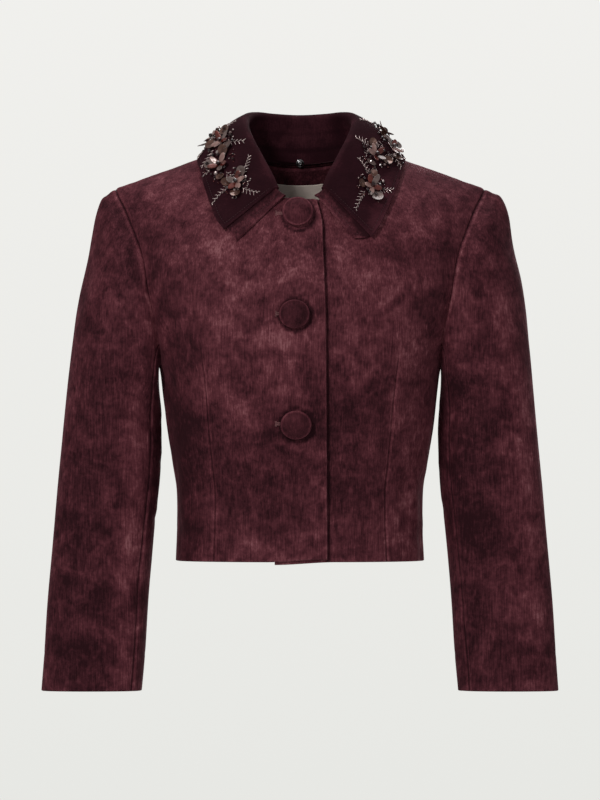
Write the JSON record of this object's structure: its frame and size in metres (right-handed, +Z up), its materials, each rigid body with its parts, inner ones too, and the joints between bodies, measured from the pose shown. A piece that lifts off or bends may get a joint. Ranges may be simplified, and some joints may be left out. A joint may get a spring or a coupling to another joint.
{
  "type": "cropped velvet jacket",
  "caption": "Cropped dark red velvet jacket in its hollow worn form, with long sleeves, covered buttons and a beaded over-collar.",
  "frame": {"origin": "on the centre line of the body, level with the shoulder seams where they meet the neck, where the wearer's shoulders hold it up", "axes": "+Z up, the front faces -Y, +X to the wearer's left"},
  "size_m": [0.569, 0.2266, 0.6389],
  "materials": {
    "velvet": "crushed velvet, dark burgundy with lighter rubbed patches",
    "collar_cloth": "smooth dark burgundy cloth",
    "button_cloth": "velvet stretched over a button form",
    "label_cloth": "plain woven ribbon",
    "snap_metal": "dark polished metal"
  },
  "bodies": {
    "root": {"front_right": "velvet", "front_left": "velvet", "back": "velvet", "sleeve_top_right": "velvet", "sleeve_top_left": "velvet", "sleeve_under_right": "velvet", "sleeve_under_left": "velvet", "collar_under": "velvet", "overcollar": "collar_cloth", "back_neck_facing": "velvet", "neck_label": "label_cloth", "button_1": "button_cloth", "button_2": "button_cloth", "button_3": "button_cloth", "snap_cap": "snap_metal"}
  },
  "joints": []
}
